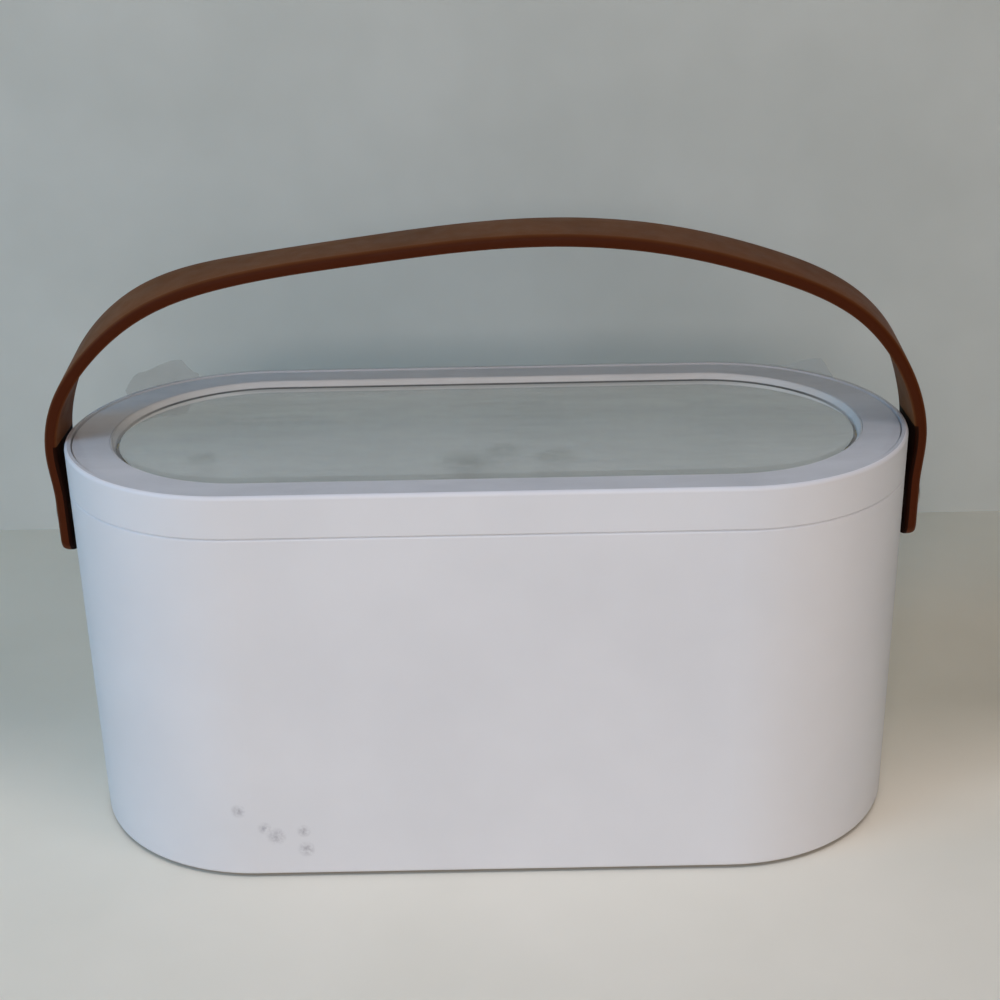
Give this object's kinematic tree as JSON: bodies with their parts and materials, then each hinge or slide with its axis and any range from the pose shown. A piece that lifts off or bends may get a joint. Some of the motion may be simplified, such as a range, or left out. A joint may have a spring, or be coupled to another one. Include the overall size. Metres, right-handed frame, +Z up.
{
  "type": "makeup travel case",
  "caption": "White stadium-shaped makeup travel case with a lift-off lit-mirror lid and a brown strap handle that swings on two end pivots",
  "frame": {"origin": "on the table under the middle of the case, at the bottom of the feet", "axes": "X along the case, Y from front to back, Z up"},
  "size_m": [0.2726, 0.114, 0.189],
  "materials": {
    "white_plastic": "fine matte moulding",
    "divider_plastic": "matte",
    "rubber_feet": "matte",
    "steel": "satin",
    "nylon": "matte",
    "strap_leather": "smooth with a fine grain",
    "eyelet_brass": "satin",
    "diffuser": "milky",
    "mirror": "polished",
    "foam": "foam",
    "strip_board": "matte",
    "led": "clear resin",
    "carrier_plastic": "matte",
    "touch_foam": "foam",
    "battery_foil": "foil",
    "circuit_board": "solder mask",
    "lead_jacket": "smooth",
    "film": "clear and wrinkled"
  },
  "bodies": {
    "case_body": {"tub_shell": "white_plastic", "foot_pads": "rubber_feet", "left_divider": "divider_plastic", "right_divider": "divider_plastic", "pivot_screws": "steel", "pivot_washers": "nylon", "pivot_nuts": "steel"},
    "lid": {"lid_frame": "white_plastic", "mirror_bezel": "white_plastic", "diffuser_ring": "diffuser", "mirror_glass": "mirror", "mirror_tape": "foam", "led_strip": "strip_board", "led_chips": "led", "led_carrier": "carrier_plastic", "touch_pad": "touch_foam", "battery_cell": "battery_foil", "control_board": "circuit_board", "charge_board": "circuit_board", "usb_socket": "steel", "battery_leads": "lead_jacket", "led_leads": "lead_jacket", "charge_leads": "lead_jacket", "touch_lead": "lead_jacket", "lid_cover": "white_plastic", "cover_screws": "steel", "protective_film": "film"},
    "handle": {"handle_strap": "strap_leather", "strap_eyelets": "eyelet_brass"}
  },
  "joints": [
    {"name": "handle_swing", "type": "hinge", "parent": "case_body", "child": "handle", "pos_m": [0, 0, 0.1015], "axis": [1, 0, 0], "range_deg": [-118, 118]},
    {"name": "lid_lift", "type": "slide", "parent": "case_body", "child": "lid", "axis": [0, 0, 1], "range_m": [0, 0.004]}
  ]
}
